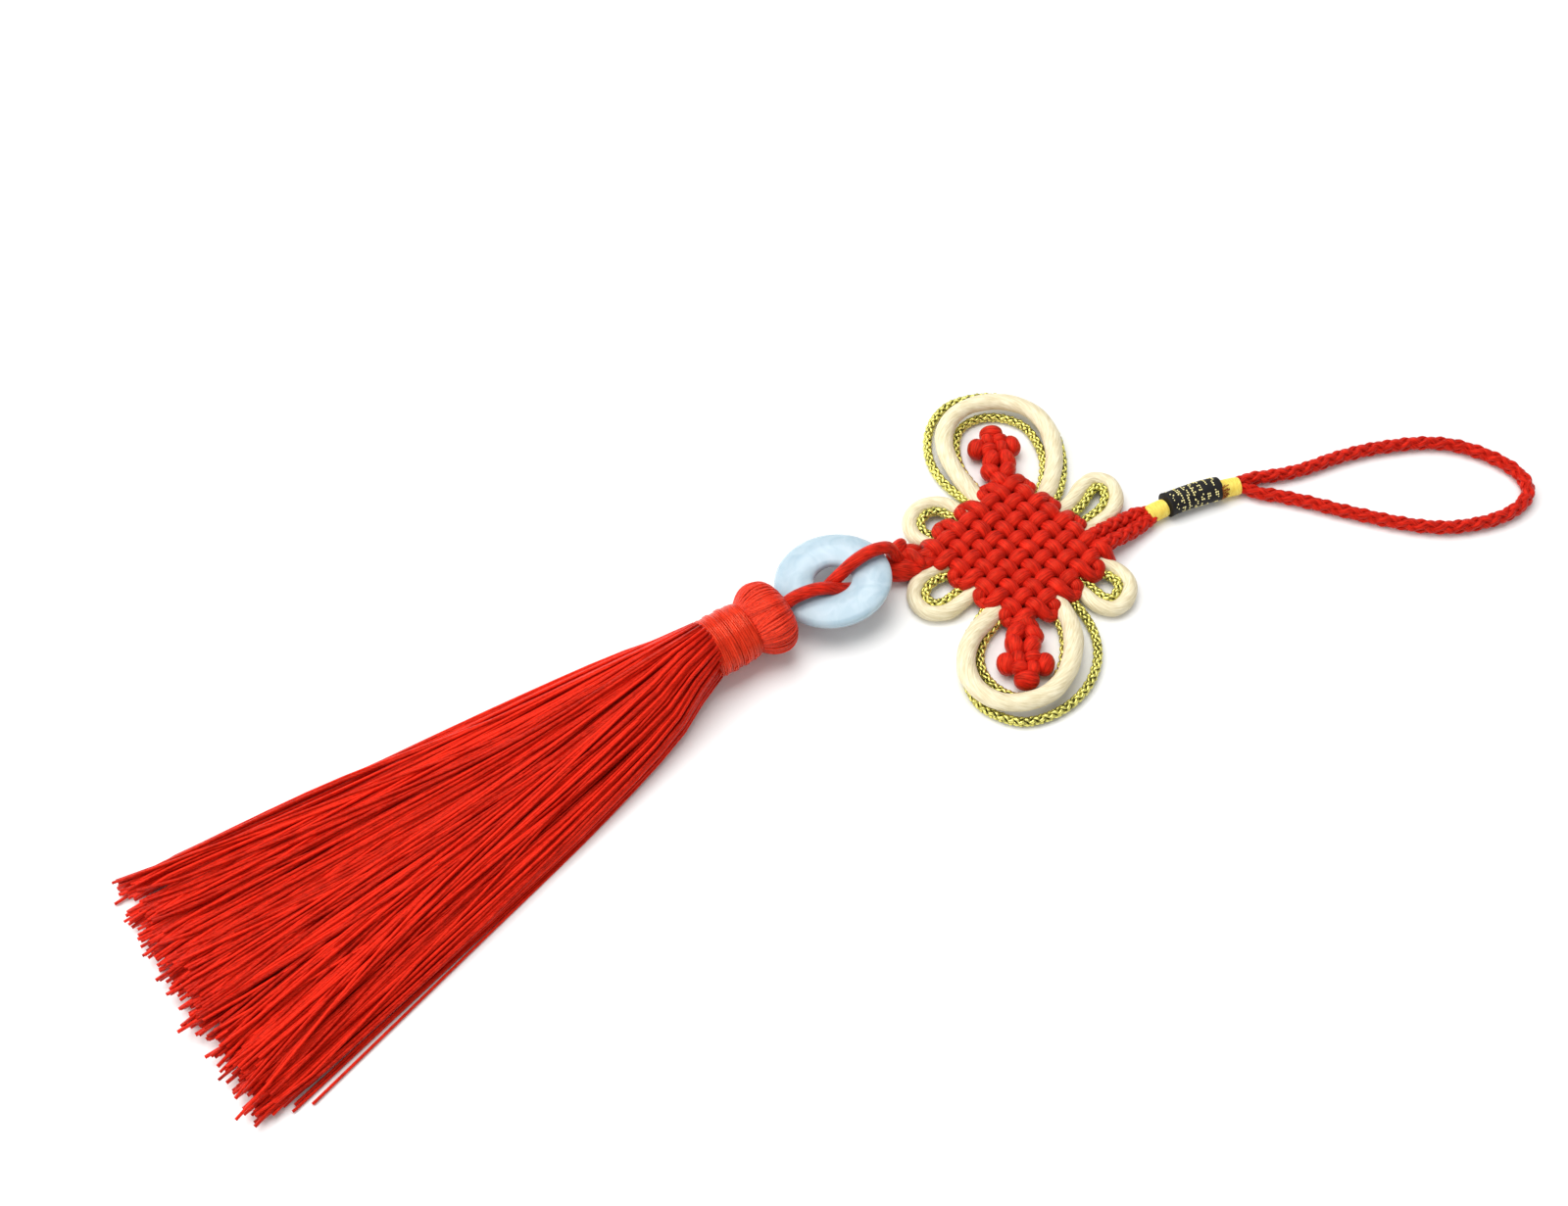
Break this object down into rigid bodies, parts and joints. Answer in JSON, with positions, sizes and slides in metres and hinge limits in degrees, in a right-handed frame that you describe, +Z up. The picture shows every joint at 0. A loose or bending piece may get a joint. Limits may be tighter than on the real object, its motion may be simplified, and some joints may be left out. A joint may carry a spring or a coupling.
{
  "type": "chinese knot tassel",
  "caption": "Red Chinese knot tassel with beige and gold cord loops, a pale glass ring and a long thread tassel, laid flat.",
  "frame": {"origin": "middle of the footprint on the surface it lies on, the hanging loop left aside", "axes": "+Z up from the surface, +X from the tassel's skirt towards the hanging loop, +Y away from the picture's viewer"},
  "size_m": [0.3413, 0.1948, 0.0162],
  "materials": {
    "red_cord": "satin cord",
    "red_braid": "braided cord",
    "red_thread": "glossy thread",
    "beige_cord": "satin cord",
    "gold_braid": "metallic braid",
    "yellow_thread": "wound thread",
    "black_ribbon": "woven ribbon",
    "pale_glass": "polished"
  },
  "bodies": {
    "root": {"knot_body": "red_cord", "side_knot_near": "red_cord", "side_knot_far": "red_cord", "button_knot": "red_cord", "ear_far_right_beige": "beige_cord", "ear_far_right_gold": "gold_braid", "ear_near_right_beige": "beige_cord", "ear_near_right_gold": "gold_braid", "ear_near_left_beige": "beige_cord", "ear_near_left_gold": "gold_braid", "ear_far_left_beige": "beige_cord", "ear_far_left_gold": "gold_braid", "side_loop_near_beige": "beige_cord", "side_loop_near_gold_inner": "gold_braid", "side_loop_near_gold_outer": "gold_braid", "side_loop_far_beige": "beige_cord", "side_loop_far_gold_inner": "gold_braid", "side_loop_far_gold_outer": "gold_braid", "wrap_lower": "yellow_thread", "ribbon_sleeve": "black_ribbon", "wrap_upper": "yellow_thread", "neck_cord_far": "red_braid", "neck_cord_near": "red_braid", "hang_loop": "red_braid", "glass_ring": "pale_glass", "tassel_head": "red_thread", "tassel_band": "red_thread", "ring_cord_knot": "red_cord", "ring_cord_tassel": "red_cord", "tassel_skirt": "red_thread"}
  },
  "joints": []
}
